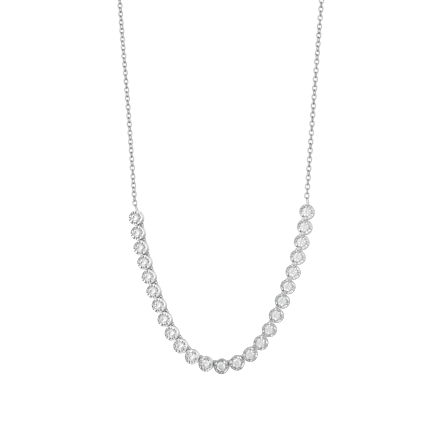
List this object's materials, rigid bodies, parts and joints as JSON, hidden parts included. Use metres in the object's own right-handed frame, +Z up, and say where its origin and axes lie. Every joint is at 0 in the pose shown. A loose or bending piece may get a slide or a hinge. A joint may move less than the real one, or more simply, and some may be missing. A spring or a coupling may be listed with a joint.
{
  "type": "chain necklace with a row of stone settings",
  "caption": "Fine cable chain necklace whose hanging front is a curved row of round illusion settings with brilliant stones, closed by a plain ring clasp.",
  "frame": {"origin": "middle of the clasp, at the centre back of the loop, where it rests on the back of the neck", "axes": "+Z up as worn, the front row faces -Y, +X to the right as seen from the front"},
  "size_m": [0.0572, 0.0811, 0.1499],
  "materials": {
    "setting_metal": "rhodium-bright polished silver, slightly worn on the wall",
    "chain_metal": "polished silver wire",
    "stone": "clear colourless cut stone, high lustre"
  },
  "bodies": {
    "root": {"setting_01": "setting_metal", "setting_02": "setting_metal", "setting_03": "setting_metal", "setting_04": "setting_metal", "setting_05": "setting_metal", "setting_06": "setting_metal", "setting_07": "setting_metal", "setting_08": "setting_metal", "setting_09": "setting_metal", "setting_10": "setting_metal", "setting_11": "setting_metal", "setting_12": "setting_metal", "setting_13": "setting_metal", "setting_14": "setting_metal", "setting_15": "setting_metal", "setting_16": "setting_metal", "setting_17": "setting_metal", "setting_18": "setting_metal", "setting_19": "setting_metal", "setting_20": "setting_metal", "setting_21": "setting_metal", "setting_22": "setting_metal", "setting_23": "setting_metal", "setting_24": "setting_metal", "setting_25": "setting_metal", "stone_01": "stone", "stone_02": "stone", "stone_03": "stone", "stone_04": "stone", "stone_05": "stone", "stone_06": "stone", "stone_07": "stone", "stone_08": "stone", "stone_09": "stone", "stone_10": "stone", "stone_11": "stone", "stone_12": "stone", "stone_13": "stone", "stone_14": "stone", "stone_15": "stone", "stone_16": "stone", "stone_17": "stone", "stone_18": "stone", "stone_19": "stone", "stone_20": "stone", "stone_21": "stone", "stone_22": "stone", "stone_23": "stone", "stone_24": "stone", "stone_25": "stone", "row_rings": "chain_metal", "end_ring_left": "chain_metal", "end_ring_right": "chain_metal", "chain_left": "chain_metal", "chain_right": "chain_metal", "clasp": "setting_metal", "clasp_ring_left": "chain_metal", "clasp_ring_right": "chain_metal"}
  },
  "joints": []
}
